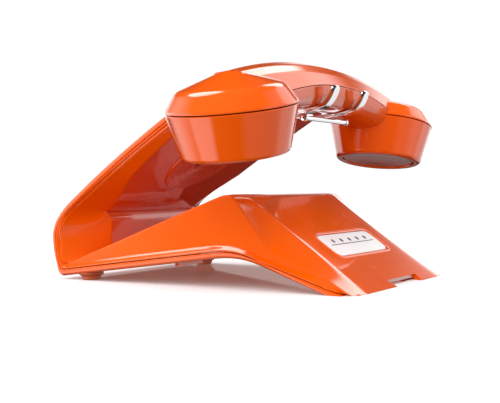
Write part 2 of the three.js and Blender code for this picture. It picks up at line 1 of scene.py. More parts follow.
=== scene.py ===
"""Desk telephone: a folded wedge base with a dial arm, chrome hooks and a lift-off handset.

Lengths in the shape functions are millimetres in the design frame: x across, y from the front bend
to the rear edge, z up from the table. build() turns them into metres in the row frame.
"""

import bpy
import bmesh
import numpy as np
from mathutils import Matrix


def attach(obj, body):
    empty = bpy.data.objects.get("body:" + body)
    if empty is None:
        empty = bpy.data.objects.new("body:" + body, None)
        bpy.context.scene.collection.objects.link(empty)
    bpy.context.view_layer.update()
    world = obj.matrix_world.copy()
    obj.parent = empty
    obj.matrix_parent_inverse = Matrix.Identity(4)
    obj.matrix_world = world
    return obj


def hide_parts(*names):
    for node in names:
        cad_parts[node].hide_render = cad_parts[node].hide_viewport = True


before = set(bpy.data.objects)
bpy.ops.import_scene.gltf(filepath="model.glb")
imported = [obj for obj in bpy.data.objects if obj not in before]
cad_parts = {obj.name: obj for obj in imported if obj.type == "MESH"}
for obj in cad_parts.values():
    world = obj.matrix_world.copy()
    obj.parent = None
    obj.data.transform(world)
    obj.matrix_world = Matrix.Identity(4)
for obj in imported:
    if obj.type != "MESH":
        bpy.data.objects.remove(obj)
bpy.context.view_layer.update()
scene = bpy.context.scene

# ---- Driving dimensions, in millimetres ----
CENTRE_Y = 88.15
HALF_WIDTH = 58.0
REAR_Y = 167.7
RIDGE_Y, RIDGE_Z = 106.9, 42.4
SLOPE_HALF = 44.8
CORNER_R = 12.7
SIDE_INSET = 2.2
GROOVE = 0.3
DIAL_Y, DIAL_Z, DIAL_TILT = 61.0, 67.5, np.radians(33.9)
SLOPE_TILT = -np.arctan2(RIDGE_Z, REAR_Y - RIDGE_Y)
PLATE_Y = 141.5
NOTCH_X = -5.0
PAN_TILT = np.arctan2(11.3, 85.0)
GRIP_Y = 122.8
HOOK_X = 17.0
CUP_X, CUP_Z, CUP_TILT = 80.3, 76.9, np.radians(11)
SCREWS = ((-40, 70), (40, 70), (-34, 96), (34, 96))


# ---- Numbers and outlines ----
def mix(a, b, t):
    """The straight blend from a to b."""
    return a + (b - a) * t


def ramp(value, low, high):
    """0 below low, 1 above high, straight between."""
    return np.clip((value - low) / (high - low), 0, 1)


def soft(value, width):
    """A hinge that is 0 well below zero and the value itself well above, rounded over the width."""
    return (value + np.sqrt(value * value + width * width)) / 2


def straight(a, b, count):
    """Points evenly along the line from a to b, without the last."""
    t = np.arange(count)[:, None] / count
    return mix(np.array(a, float), np.array(b, float), t)


def bent(a, pull, b, count):
    """Points along the parabola from a to b that leaves and arrives towards pull, without the last."""
    t = np.arange(count)[:, None] / count
    a, pull, b = (np.array(p, float) for p in (a, pull, b))
    return (1 - t) ** 2 * a + 2 * t * (1 - t) * pull + t * t * b


def normals_of(line):
    """Unit normals of a (y, z) line, to the left of its direction."""
    along = np.gradient(line, axis=0)
    along /= np.linalg.norm(along, axis=1)[:, None]
    return np.stack([-along[:, 1], along[:, 0]], 1)


def rounded(corners, radii, count=5):
    """A polygon of (a, b) corners with each corner turned into a parabola that starts its radius away."""
    corners = np.array(corners, float)
    parts = []
    for i, radius in enumerate(radii):
        here = corners[i]
        if radius == 0:
            parts.append(here[None])
            continue
        before, after = corners[i - 1] - here, corners[(i + 1) % len(corners)] - here
        start = here + before / np.linalg.norm(before) * radius
        end = here + after / np.linalg.norm(after) * radius
        parts.append(bent(start, here, end, count))
        parts.append(end[None])
    return np.concatenate(parts)


# ---- Frames ----
def turn_x(angle):
    """Rotation matrix about x."""
    c, s = np.cos(angle), np.sin(angle)
    return np.array([[1, 0, 0], [0, c, -s], [0, s, c]])


def turn_y(angle):
    """Rotation matrix about y."""
    c, s = np.cos(angle), np.sin(angle)
    return np.array([[c, 0, s], [0, 1, 0], [-s, 0, c]])


def in_frame(points, turn, origin):
    """Points turned by a matrix and then moved to an origin."""
    return points @ turn.T + np.array(origin, float)


def slope_z(y):
    """Height of the rear slope's plane."""
    return RIDGE_Z * (REAR_Y - y) / (REAR_Y - RIDGE_Y)


def pan_z(y):
    """Height of the underside's plane."""
    return 1.5 + (y - 15) * np.tan(PAN_TILT)


def on_dial(points, x=0.0, y=0.0):
    """Points from the dial's frame, whose z leaves the dial face, shifted by x and y in it."""
    return in_frame(points + np.array([x, y, 0.0]), turn_x(DIAL_TILT), (0, DIAL_Y, DIAL_Z))


def on_slope(points, x, y):
    """Points from a frame that lies on the rear slope."""
    return in_frame(points, turn_x(SLOPE_TILT), (x, y, slope_z(y)))


def on_pan(points, x, y):
    """Points from a frame that lies on the underside."""
    return in_frame(points, turn_x(PAN_TILT), (x, y, pan_z(y)))


def in_cup(points, side):
    """Points from the frame of one cup, whose z is the cup's axis, out of its cap."""
    return in_frame(points, turn_y(side * CUP_TILT), (side * CUP_X, GRIP_Y, CUP_Z))


# ---- Meshes from grids ----
def grid_faces(rows, columns, first):
    """Quads between neighbouring rows and columns of a grid whose columns wrap round."""
    i, j = (a.ravel() for a in np.meshgrid(np.arange(rows - 1), np.arange(columns), indexing="ij"))
    j2 = (j + 1) % columns
    return first + np.stack([i * columns + j, i * columns + j2, (i + 1) * columns + j2, (i + 1) * columns + j], 1)


def build(name, grids, sharp=35.0):
    """One mesh object from grids of (rows, columns, 3) points in millimetres, each closed on itself.

    A grid wraps across its columns. Its first and last rows meet, or are closed by a face or a pole.
    """
    corners, faces, first = [], [], 0
    for grid in grids:
        rows, columns = grid.shape[:2]
        corners.append(grid.reshape(-1, 3))
        faces += grid_faces(rows, columns, first).tolist()
        if not np.allclose(grid[0], grid[-1]):
            faces += [(first + end + np.arange(columns)).tolist() for end in (0, (rows - 1) * columns)]
        first += rows * columns
    mesh = bpy.data.meshes.new(name)
    vertices = np.concatenate(corners)
    vertices = np.stack([vertices[:, 0], vertices[:, 1] - CENTRE_Y, vertices[:, 2]], 1) / 1000
    mesh.from_pydata(vertices.tolist(), [], faces)
    return finish_mesh(name, mesh, sharp)


def finish_mesh(name, mesh, sharp):
    """An object with its doubled points merged, faces outward, and edges sharp above an angle."""
    work = bmesh.new()
    work.from_mesh(mesh)
    bmesh.ops.remove_doubles(work, verts=work.verts, dist=2e-7)
    bmesh.ops.dissolve_degenerate(work, edges=work.edges, dist=1e-8)
    bmesh.ops.recalc_face_normals(work, faces=work.faces)
    work.to_mesh(mesh)
    work.free()
    mesh.shade_smooth()
    mesh.set_sharp_from_angle(angle=np.radians(sharp))
    piece = bpy.data.objects.new(name, mesh)
    scene.collection.objects.link(piece)
    return piece


def lathe(profile, segments=72):
    """A (radius, height) profile turned about z: one row for each profile point."""
    profile = np.array(profile, float)
    angle = np.arange(segments) * 2 * np.pi / segments
    r, z = profile[:, :1], profile[:, 1:]
    return np.stack([r * np.cos(angle), r * np.sin(angle), np.broadcast_to(z, (len(profile), segments))], 2)


def ring_lathe(profile, segments=96):
    """A closed (radius, height) loop turned about z, as rows round the axis that meet at the seam."""
    grid = lathe(np.array(profile, float), segments).transpose(1, 0, 2)
    return np.concatenate([grid, grid[:1]])


def slab(outline, low, high, edge=0.4):
    """A closed (x, y) outline raised from low to high, its two rims drawn in by the edge."""
    outline = np.array(outline, float)
    middle = outline.mean(0)
    spread = np.abs(outline - middle).max(0)
    rows = []
    for inset, z in ((edge, low), (0.0, low + edge), (0.0, high - edge), (edge * 0.3, high - edge * 0.3), (edge, high)):
        scale = 1 - inset / spread
        ring = middle + (outline - middle) * scale
        rows.append(np.concatenate([ring, np.full((len(ring), 1), z)], 1))
    return np.array(rows)


def box_outline(half_x, half_y, radius=0.0, count=6):
    """A rectangle's corners, each turned into a quarter round of the radius."""
    corners = [(-half_x, -half_y), (half_x, -half_y), (half_x, half_y), (-half_x, half_y)]
    return rounded(corners, [radius] * 4, count)


def cutter(grid):
    """A closed tool that a piece loses, made from a grid."""
    piece = build("cutter", [grid])
    piece.hide_render = True
    return piece


def cut(piece, tools, sharp=35.0):
    """The piece without its cutters, with its mesh rebuilt from the result."""
    for tool in tools:
        change = piece.modifiers.new("cut", "BOOLEAN")
        change.object = tool
        change.operation = "DIFFERENCE"
        change.solver = "EXACT"
    bpy.context.view_layer.update()
    graph = bpy.context.evaluated_depsgraph_get()
    result = bpy.data.meshes.new_from_object(piece.evaluated_get(graph))
    piece.modifiers.clear()
    piece.data = result
    result.shade_smooth()
    result.set_sharp_from_angle(angle=np.radians(sharp))
    for tool in tools:
        bpy.data.objects.remove(tool)
    return piece


def even_shading(piece):
    """Keeps flat faces flat beside their rounded edges."""
    change = piece.modifiers.new("even", "WEIGHTED_NORMAL")
    change.keep_sharp = True
    change.weight = 60
    return piece


# ---- Side lines of the base, (y, z), from the arm's tip round the front to the rear ----
def tip_rows(count):
    """Parameters that start close together, for the rounded corners at the arm's tip."""
    near = 0.128 * (1 - np.cos(np.linspace(0, np.pi / 2, 10)))[:-1]
    return np.concatenate([near, np.linspace(0.128, 1, count, endpoint=False)])


def bent_at(a, pull, b, t):
    """Points at given parameters of the parabola from a to b towards pull."""
    t = t[:, None]
    return (1 - t) ** 2 * np.array(a, float) + 2 * t * (1 - t) * np.array(pull, float) + t * t * np.array(b, float)


SIDE_ROWS = (34, 18, 10, 8, 34, 16, 44)


def outer_line():
    """The outside of the fold."""
    return np.concatenate([
        bent_at((102, 93), (58, 68.1), (20, 38), tip_rows(SIDE_ROWS[0])),
        bent((20, 38), (8.6, 29), (8.6, 20.7), SIDE_ROWS[1]),
        bent((8.6, 20.7), (8.6, 14), (11.2, 6.6), SIDE_ROWS[2]),
        bent((11.2, 6.6), (12, 2), (15, 1.5), SIDE_ROWS[3]),
        straight((15, 1.5), (100, 12.8), SIDE_ROWS[4]),
        bent((100, 12.8), (112.2, 14.4), (122, 11), SIDE_ROWS[5]),
        straight((122, 11), (153.2, 0), SIDE_ROWS[6]),
        [(153.2, 0)],
    ])


def parting_line():
    """The line between the outer and the inner shell."""
    return np.concatenate([
        bent_at((103.5, 90.4), (59.7, 65.6), (21.9, 35.6), tip_rows(SIDE_ROWS[0])),
        bent((21.9, 35.6), (11.5, 27.3), (11.5, 20.7), SIDE_ROWS[1]),
        bent((11.5, 20.7), (11.5, 14), (13.4, 7.6), SIDE_ROWS[2]),
        bent((13.4, 7.6), (13.9, 4.6), (17, 4.9), SIDE_ROWS[3]),
        straight((17, 4.9), (100, 15.8), SIDE_ROWS[4]),
        bent((100, 15.8), (110.5, 17.2), (122, 13), SIDE_ROWS[5]),
        straight((122, 13), (161.6, 0), SIDE_ROWS[6]),
        [(161.6, 0)],
    ])


def half_width(line):
    """Half the base's width along a side line: full, less the rounded corners at the arm's tip and at the rear."""
    y = line[:, 0]
    step = np.linalg.norm(np.diff(line, axis=0), axis=1)
    from_tip = np.concatenate([[0], np.cumsum(step)])
    tip = np.clip(1 - from_tip / CORNER_R, 0, 1)
    rear = 1 - np.sqrt(np.clip((REAR_Y - y) / CORNER_R, 0, 1))
    return HALF_WIDTH - CORNER_R * (1 - np.sqrt(1 - tip ** 2)) - CORNER_R * rear ** 2


def outer_skin():
    """A sheet between the outer line and the parting line, carried across x, with its side edges rounded.

    At each row the loop runs across the outer face, round the side face, and back along the parting face.
    """
    face, back = outer_line(), parting_line()
    wide = half_width(face)[:, None]
    through = back - face
    thick = np.linalg.norm(through, axis=1)[:, None] - GROOVE / 2
    through /= np.linalg.norm(through, axis=1)[:, None]
    turn = np.linspace(0, np.pi / 2, 6)
    across = np.linspace(-1, 1, 9)[1:-1]
    outer_r, inner_r = 2.1, 0.45
    right = np.concatenate([wide - outer_r * (1 - np.sin(turn)), wide - inner_r * (1 - np.cos(turn))], 1)
    depth = np.concatenate([np.broadcast_to(outer_r * (1 - np.cos(turn)), (len(face), 6)),
                            thick - inner_r * (1 - np.sin(turn))], 1)
    x = np.concatenate([(wide - 2.6) * across, right, ((wide - 2.6) * across)[:, ::-1], -right[:, ::-1]], 1)
    d = np.concatenate([np.zeros((len(face), 7)), depth, np.broadcast_to(thick, (len(face), 7)),
                        depth[:, ::-1]], 1)
    y, z = (face[:, k:k + 1] + through[:, k:k + 1] * d for k in (0, 1))
    skin = build("outer_skin", [np.stack([x, y, z], 2)], 40)
    tools = [cutter(on_dial(lathe([(0, -12), (42.3, -12), (42.3, 12), (0, 12)], 96)))]
    for k in range(-2, 3):
        half = np.sqrt(13 ** 2 - (k * 5) ** 2)
        slot = slab(box_outline(half, 0.9, 0.85), -2, 6, 0.01)
        tools.append(cutter(on_pan(slot, 0, 55 + 5 * k)))
    for x0, y0 in SCREWS:
        tools.append(cutter(on_pan(lathe([(0, -2), (3.3, -2), (3.3, 2.3), (1.7, 2.3), (1.7, 10), (0, 10)], 32), x0, y0)))
    tools.append(cutter(slab(box_outline(30, 16.25, 2), -5, 25, 0.01) + np.array([0, 142.25, 0])))
    tools.append(cutter(slab(box_outline(12.4, 6, 0.1), -2, 10, 0.01) + np.array([0, 166.5, 0])))
    for side in (-1, 1):
        tools.append(cutter(lathe([(0, -3), (3.5, -3), (3.5, 9), (0, 9)], 32) + np.array([51 * side, 27.5, 0])))
        tools.append(cutter(slab(box_outline(6.3, 2.3, 0.3), -1, 1.4, 0.01) + np.array([42 * side, 155.8, 0])))
    return even_shading(cut(skin, tools, 40))


# ---- Inner shell ----
def middle_line():
    """Inner face of the fold along the middle: belly, inner bend, ramp, crest and rear slope."""
    arm = outer_line()[:SIDE_ROWS[0] + 9]
    sink = mix(8.0, 9.2, ramp(arm[:, :1], 100, 30))
    belly = arm + normals_of(arm) * sink
    return np.concatenate([
        belly,
        bent(belly[-1] - (0.5, 0.4), (28.6, 31.2), (29.6, 27.5), SIDE_ROWS[1]),
        straight((29.6, 27.5), (29.3, 17), SIDE_ROWS[2]),
        bent((29.3, 17), (29.0, 12.4), (33, 13.8), SIDE_ROWS[3]),
        straight((33, 13.8), (101, 40.1), SIDE_ROWS[4]),
        bent((101, 40.1), (106.8, 43.0), (112.5, 38.5), SIDE_ROWS[5]),
        straight((112.5, 38.5), (REAR_Y, 0), SIDE_ROWS[6]),
        [(REAR_Y, 0)],
    ])


def lip_line():
    """Inner face of the fold at its lip, beside the parting line."""
    return np.concatenate([
        bent_at((104.5, 88.6), (61.4, 64.0), (25.9, 38), tip_rows(SIDE_ROWS[0])),
        bent((25.9, 38), (12.9, 28.4), (12.8, 17.8), SIDE_ROWS[1]),
        bent((12.8, 17.8), (13.2, 12), (15.6, 8.4), SIDE_ROWS[2]),
        bent((15.6, 8.4), (16.6, 6.9), (20.3, 8.9), SIDE_ROWS[3]),
        straight((20.3, 8.9), (101, 40.1), SIDE_ROWS[4]),
        bent((101, 40.1), (106.8, 43.0), (112.5, 38.5), SIDE_ROWS[5]),
        straight((112.5, 38.5), (REAR_Y, 0), SIDE_ROWS[6]),
        [(REAR_Y, 0)],
    ])


def crease_half():
    """Half width of the belly's flat middle, row by row: it narrows down the arm and at the inner bend."""
    line = middle_line()
    step = np.linalg.norm(np.diff(line, axis=0), axis=1)
    from_tip = np.concatenate([[0], np.cumsum(step)])
    bend = from_tip[SIDE_ROWS[0] + 9]
    return np.interp(bend - from_tip, (-22, -6, 3, 14, 30, 60, 95), (38, 37.5, 38.5, 42, 49.5, 53, 54.5))


def lip_height(y):
    """Height of the leaning side's foot behind the crest."""
    return 18.7 - 0.1455 * (y - 108) - 0.003417 * (y - 108) ** 2


def inner_face(x):
    """Heights and depths of the inner face at columns x (rows, columns), as y and z arrays.

    Ahead of the crest a row blends from the lip to the middle between the side and the crease.
    Behind it the side leans down from the slope, with a round edge that widens to the rear and at the crest.
    """
    middle, lip = middle_line(), lip_line()
    crease = crease_half()[:, None]
    share = np.clip((HALF_WIDTH - np.abs(x)) / (HALF_WIDTH - crease), 0, 1)
    y = mix(lip[:, :1], middle[:, :1], share)
    z = mix(lip[:, 1:], middle[:, 1:], share)
    fan = ramp(y, RIDGE_Y, RIDGE_Y + 19.5)
    width = mix(1.0, 2.4, ramp(y, 128, 159))
    fall = (z - lip_height(y)) * fan ** 1.4
    lean = soft(np.abs(x) - SLOPE_HALF, width) / soft(HALF_WIDTH - SLOPE_HALF, width)
    return y, np.where(y > RIDGE_Y, z - fall * lean, z)


def flare(height):
    """How far the side stands in from the full width, at a height above the parting line."""
    return SIDE_INSET * np.clip((height - 0.9) / 2.1, 0, 1)


def relax(points, weight, rounds):
    """Moves each grid point part of the way to the mean of its four neighbours, by its weight, so many times."""
    weight = weight[..., None]
    for _ in range(rounds):
        near = (np.roll(points, 1, 0) + np.roll(points, -1, 0) + np.roll(points, 1, 1) + np.roll(points, -1, 1)) / 4
        points = points + (near - points) * weight * 0.5
    return points


def inner_form():
    """Grid of the inner shell: a row is a loop across the inner face, down the side, and back beneath its skin."""
    middle, lip, back = middle_line(), lip_line(), parting_line()
    count = len(middle)
    arm = np.arange(count)[:, None] < sum(SIDE_ROWS[:4]) + 9
    wide = half_width(np.where(arm, back, middle))[:, None]
    tall = np.linalg.norm(lip - back, axis=1)[:, None]
    tall = np.where(middle[:, :1] > RIDGE_Y, np.maximum(tall, 3.0), tall)
    rear = np.interp(middle[:, :1], (60, 100), (38, SLOPE_HALF))
    line = np.where((middle[:, :1] > 60) & ~arm, rear, crease_half()[:, None])
    bend_r = np.interp(tall, (1, 4), (0.5, 0.9))
    edge_x = HALF_WIDTH - flare(tall - bend_r)
    flat = [line * t for t in np.linspace(0, 0.93, 14)]
    crease = [line * t for t in (0.955, 0.975, 0.99, 1.0, 1.01, 1.025)]
    flank = [mix(line * 1.045, edge_x - bend_r * 1.5, t) for t in np.linspace(0, 1, 12)]
    turn = np.linspace(0, np.pi / 2, 6)
    corner = [edge_x - bend_r * (1 - np.sin(a)) for a in turn]
    half = np.concatenate(flat + crease + flank + corner, 1)
    placed = np.where(arm, half * wide / HALF_WIDTH, np.minimum(half, wide - (edge_x - half) * 0.02))
    y, z = inner_face(np.where(arm, half, placed))
    down = back - np.stack([y[:, -1], z[:, -1]], 1)
    tall = np.linalg.norm(down, axis=1)[:, None]
    down /= np.maximum(tall, 1e-6)
    drop = np.concatenate([np.zeros((1, half.shape[1] - 6)), bend_r[:1] * 0 + (1 - np.cos(turn))[None]], 1) * bend_r
    drop = np.minimum(drop, tall * 0.3)
    y, z = y + down[:, :1] * drop, z + down[:, 1:] * drop
    bevel = np.array([[3.15, 3.0, 2.6, 2.2, 1.8, 1.4, 1.0, 0.85, 0.5]]) * np.minimum(1, (tall - bend_r) / 3.6)
    left = np.concatenate([mix(tall - bend_r, bevel[:, :1], np.linspace(0, 1, 8)[None, 1:-1]), bevel], 1)
    wall_x = wide - flare(left)
    wall_y, wall_z = y[:, :1] * 0 + (back[:, :1] - down[:, :1] * left), back[:, 1:] - down[:, 1:] * left
    foot = back - down * (GROOVE / 2)
    end_x = np.concatenate([wide - 0.12, wide - 0.4, np.where(middle[:, :1] > RIDGE_Y - 4, 46.5, 51.0) * wide / HALF_WIDTH], 1)
    end_y = np.repeat(foot[:, :1], 3, 1) - down[:, :1] * np.array([0.12, 0, 0])
    end_z = np.repeat(foot[:, 1:], 3, 1) - down[:, 1:] * np.array([0.12, 0, 0])
    x = np.concatenate([placed, wall_x, end_x], 1)
    y = np.concatenate([y, wall_y, end_y], 1)
    z = np.concatenate([z, wall_z, end_z], 1)
    top = np.stack([x, y, np.maximum(z, 0)], 2)
    along = middle[:, 0]
    rows = (ramp(along, 98, 108) * ramp(along, 134, 122) * (np.arange(count) > sum(SIDE_ROWS[:4])))[:, None]
    columns = np.arange(x.shape[1])[None]
    first, last = 22, half.shape[1] + 9
    weight = rows * ramp(columns, first, first + 6) * ramp(columns, last, last - 5)
    top = relax(top, weight, 20)
    skin = middle - normals_of(middle) * 2.2
    arm_half = np.where(arm[:, 0], np.minimum(49.5, line[:, 0] - 0.8), 49.5)
    under_half = np.where(along > RIDGE_Y - 4, 41.0, arm_half) * wide[:, 0] / HALF_WIDTH
    t = np.linspace(1, -1, 9)[None]
    under = np.stack([under_half[:, None] * t, np.repeat(skin[:, :1], 9, 1), np.repeat(np.maximum(skin[:, 1:], 0), 9, 1)], 2)
    mirror = top[:, :0:-1] * np.array([-1, 1, 1])
    return np.concatenate([top, under, mirror], 1)


def hook_line():
    """Upper face of a cradle hook, (y, z): flat out of the arm, then curling up at the end."""
    return np.concatenate([
        straight((90, 80.35), (114, 79.63), 12),
        bent((114, 79.63), (128.5, 79.3), (134.8, 82.6), 16),
        bent((134.8, 82.6), (138.2, 85.2), (139.6, 90.6), 13)[:13],
        [(139.6, 90.6)],
    ])


def inner_shell():
    """The inner shell with its plate recess, cable notch and hook slots."""
    shell = build("inner_fold", [inner_form()], 50)
    plate = slab(box_outline(30.2, 8.55, 5, 10), -1.4, 6, 0.01)
    notch = slab(rounded([(-18, -5), (18, -5), (14, 5.6), (-14, 5.6)], [0.1, 0.1, 3.5, 3.5], 6), -9, 6, 0.01)
    tools = [cutter(on_slope(plate, 0, PLATE_Y)), cutter(on_slope(notch, NOTCH_X, REAR_Y))]
    for side in (-1, 1):
        slot = slab(box_outline(3.5, 13, 0.8), 77.9, 80.7, 0.01) + np.array([HOOK_X * side, 101, 0])
        tools.append(cutter(slot))
    for x0, y0 in SCREWS:
        tools.append(cutter(on_pan(lathe([(0, -2), (3.3, -2), (3.3, 2.3), (1.7, 2.3), (1.7, 10), (0, 10)], 32), x0, y0)))
    return even_shading(cut(shell, tools, 50))


def belly_disc():
    """A shallow round cover on the belly: polar grid whose height is a step at the rim and rings across the face.

    Radius runs out from the centre, and each point sits on the belly's line at its distance along the arm.
    """
    line = middle_line()[:SIDE_ROWS[0] + 12]
    step = np.linalg.norm(np.diff(line, axis=0), axis=1)
    run = np.concatenate([[0], np.cumsum(step)])
    normal = normals_of(line)
    centre = np.interp(DISC_Y, line[::-1, 0], run[::-1])
    radius = np.concatenate([np.linspace(0, 24.2, 90), [24.5, 24.8, 25.0, 25.0]])
    height = 0.75 - 0.35 * np.exp(-(radius / 7.0) ** 4) + 0.06 * np.cos(radius * 2 * np.pi / 1.35) * ramp(radius, 9, 12)
    height[-4:] = 0.7, 0.62, 0.4, -1.0
    angle = np.arange(120) * 2 * np.pi / 120
    at = centre + radius[:, None] * np.sin(angle)
    y, z = (np.interp(at, run, line[:, k]) + np.interp(at, run, normal[:, k]) * height[:, None] for k in (0, 1))
    x = radius[:, None] * np.cos(angle)
    top = np.stack([x, y, z], 2)
    return even_shading(build("belly_cover", [top], 50))


DISC_Y = 62.0


# ---- Cradle ----
def strap(side):
    """A flat bar with rounded edges carried along the hook line; its width closes to a half round at the tip."""
    line = hook_line()
    normal = normals_of(line)
    step = np.linalg.norm(np.diff(line, axis=0), axis=1)
    to_end = np.concatenate([np.cumsum(step[::-1])[::-1], [0]])
    wide = 3.0 * np.sqrt(np.clip(1 - (1 - np.minimum(to_end / 3.0, 1)) ** 2, 0.02, 1))
    corners = np.linspace(0, np.pi / 2, 5)
    edge = 0.45
    right = np.stack([1 - edge / 3 * (1 - np.sin(corners)), -edge * (1 - np.cos(corners))], 1)
    lower = np.stack([1 - edge / 3 * (1 - np.cos(corners)), -2 + edge * (1 - np.sin(corners))], 1)
    half = np.concatenate([[(0, 0)], right, lower, [(0, -2)]])
    loop = np.concatenate([half, half[-2:0:-1] * np.array([-1, 1])])
    x = side * HOOK_X + wide[:, None] * loop[:, 0]
    y, z = (line[:, k:k + 1] + normal[:, k:k + 1] * loop[:, 1] for k in (0, 1))
    piece = build("hook_left" if side < 0 else "hook_right", [np.stack([x, y, z], 2)], 60)
    hole = lathe([(0, -5), (1.75, -5), (1.75, 5), (0, 5)], 32) + np.array([side * HOOK_X, GRIP_Y, 79.4])
    return even_shading(cut(piece, [cutter(hole)], 60))


def cross_rod():
    """A round rod under the hooks with a domed knob at each end."""
    profile = [(0, -24), (1.2, -23.9), (1.75, -23.5), (1.9, -22.9), (1.75, -22.2), (1.2, -21.8), (1.2, -12),
               (1.2, 12), (1.2, 21.8), (1.75, 22.2), (1.9, 22.9), (1.75, 23.5), (1.2, 23.9), (0, 24)]
    grid = lathe(profile, 32) @ turn_y(np.pi / 2).T + np.array([0, 127.0, 79.24 - 3.5 + 0.1])
    return even_shading(build("rod", [grid], 60))


def pin(side):
    """A domed charging contact standing in the hook."""
    grid = lathe([(0, -1.4), (1.4, -1.4), (1.4, -0.1), (1.25, 0.15), (0.8, 0.33), (0, 0.4)], 32)
    return even_shading(build("contact_left" if side < 0 else "contact_right",
                              [grid + np.array([side * HOOK_X, GRIP_Y, 79.36])], 60))


# ---- Handset ----
def grip_section(corners, radii):
    """A closed section from (y, z-array) corners: each corner becomes a short parabola, for all rows at once."""
    y = np.array([c[0] for c in corners])[:, :, None]
    z = np.array([c[1] for c in corners])[:, :, None]
    points = np.concatenate([y, z], 2)
    loops = []
    for i, radius in enumerate(radii):
        here, before, after = points[i], points[i - 1], points[(i + 1) % len(points)]
        a, b = before - here, after - here
        start = here + a / np.linalg.norm(a, axis=1)[:, None] * radius
        end = here + b / np.linalg.norm(b, axis=1)[:, None] * radius
        for t in np.linspace(0, 1, 6):
            loops.append((1 - t) ** 2 * start + 2 * t * (1 - t) * here + t * t * end)
    return np.array(loops).transpose(1, 0, 2)


def grip_grid(half, reach, radii, rows=81):
    """Grid of a grip piece from half its section, (y, height, fall), mirrored in y and carried across x."""
    x = np.linspace(-reach, reach, rows)
    full = half + [(-y, h, f) for y, h, f in reversed(half) if y > 0]
    turns = radii + [r for (y, h, f), r in reversed(list(zip(half, radii))) if y > 0]
    corners = [(np.full(rows, float(y)), h - f * x * x) for y, h, f in full]
    section = grip_section(corners, turns)
    across = np.broadcast_to(x[:, None, None], section.shape[:2] + (1,))
    return np.concatenate([across, section[..., :1] + GRIP_Y, section[..., 1:]], 2)


def cup_wall(side):
    """A cup's wall as a closed loop turned about its axis: outside, mouth rim, and inside."""
    outer = rounded([(27.5, -0.22), (22.4, -19.7), (19.1, -19.7), (19.1, -17.3), (20.2, -17.3), (25.2, -0.22)],
                    [0.5, 1.9, 0.7, 0.3, 0.2, 0.3], 6)
    return in_cup(ring_lathe(outer), side)


def cap_dome(side):
    """A cup's cap: a low band under a straight cone, with rounded edges and a small round top."""
    top = rounded([(0, 0.22), (27.5, 0.22), (27.5, 1.0), (22.5, 8.5), (13.8, 11.3), (2.6, 14.9), (0, 15.0)],
                  [0, 0.35, 0.6, 2.2, 3.0, 1.2, 0], 7)
    return in_cup(lathe(top, 96), side)


def handset_upper():
    """The grip's upper half and both caps."""
    half = [(13.4, 91.35, 0.0021), (9.5, 97.0, 0.0014), (6.2, 100.0, 0.0013), (0, 102.2, 0.0015)]
    grid = grip_grid(half, 83.5, [0.35, 1.0, 1.0, 1.6])
    return even_shading(build("handset_top", [grid, cap_dome(-1), cap_dome(1)], 50))


def handset_lower():
    """The grip's lower half and both cups."""
    half = [(0, 80.4, 0.0021), (4, 80.6, 0.0021), (8.5, 82.0, 0.0021), (12.2, 85.7, 0.0021), (13.4, 91.05, 0.0021)]
    grid = grip_grid(half, 64, [2.0, 2.0, 2.0, 2.0, 0.35])
    return even_shading(build("handset_bottom", [grid, cup_wall(-1), cup_wall(1)], 50))


def sound_cover(side, holes):
    """A dished cover in a cup's mouth, with its holes cut through it."""
    face = lathe([(0, -18.1), (6, -18.15), (12, -18.4), (16, -18.9), (18.2, -18.9), (18.7, -18.5), (18.7, -17.6), (0, -17.5)], 72)
    piece = build("ear_cover" if side < 0 else "mouth_cover", [in_cup(face, side)], 50)
    tools = []
    for angle in np.arange(holes) * 2 * np.pi / holes:
        hole = lathe([(0, -20), (0.6, -20), (0.6, -17), (0, -17)], 16)
        tools.append(cutter(in_cup(hole + np.array([7 * np.cos(angle), 7 * np.sin(angle), 0]), side)))
    return even_shading(cut(piece, tools, 50))


# ---- Dial ----
def dial_rim():
    """The chrome ring round the dial."""
    loop = rounded([(39.65, -4.2), (42.0, -4.2), (42.0, 1.4), (41.2, 1.8), (39.9, 1.8), (39.65, 1.2)],
                   [0.2, 0.2, 0.4, 0.4, 0.4, 0.2], 4)
    return even_shading(build("dial_trim", [on_dial(ring_lathe(loop))], 60))


def key_places():
    """Name, place in the dial's frame, radius and marking of each key."""
    names = [f"key_{i}" for i in range(1, 10)] + ["key_star", "key_0", "key_hash"]
    marks = [str(i) for i in range(1, 10)] + ["*", "0", "#"]
    angles = np.pi / 2 - 2 * np.pi * (np.arange(12) + 1) / 12
    places = [(n, 31 * np.cos(a), 31 * np.sin(a), 5.6, m) for n, a, m in zip(names, angles, marks)]
    for name, degrees in (("talk_key", 230), ("menu_key", 270), ("end_key", 310)):
        a = np.radians(degrees)
        places.append((name, 20.5 * np.cos(a), 20.5 * np.sin(a), 3.2, ""))
    return places


def dial_face():
    """The dark dial plate with a hole for each key and for the display."""
    profile = rounded([(0, -1.2), (36.3, -1.2), (36.3, -4.2), (39.3, -4.2), (39.3, 1.5), (38.2, 1.5), (37.2, 1.0), (0, 1.0)],
                      [0, 0.1, 0.1, 0.3, 0.4, 0.3, 0.5, 0], 4)
    face = build("dial_face", [on_dial(lathe(profile, 120))], 50)
    tools = [cutter(on_dial(lathe([(0, -3), (r + 0.3, -3), (r + 0.3, 3), (0, 3)], 48), x, y)) for _, x, y, r, _ in key_places()]
    tools.append(cutter(on_dial(lathe([(0, -3), (15.8, -3), (15.8, 3), (0, 3)], 72))))
    return even_shading(cut(face, tools, 50))


def key_cap(name, x, y, r):
    """A round key with a softly dished top."""
    profile = rounded([(0, -1.5), (r, -1.5), (r, 2.8), (r * 0.62, 2.55), (0, 2.3)], [0, 0.2, 0.7, 1.2, 0], 6)
    return even_shading(build(name.replace("key", "cap"), [on_dial(lathe(profile, 56), x, y)], 60))


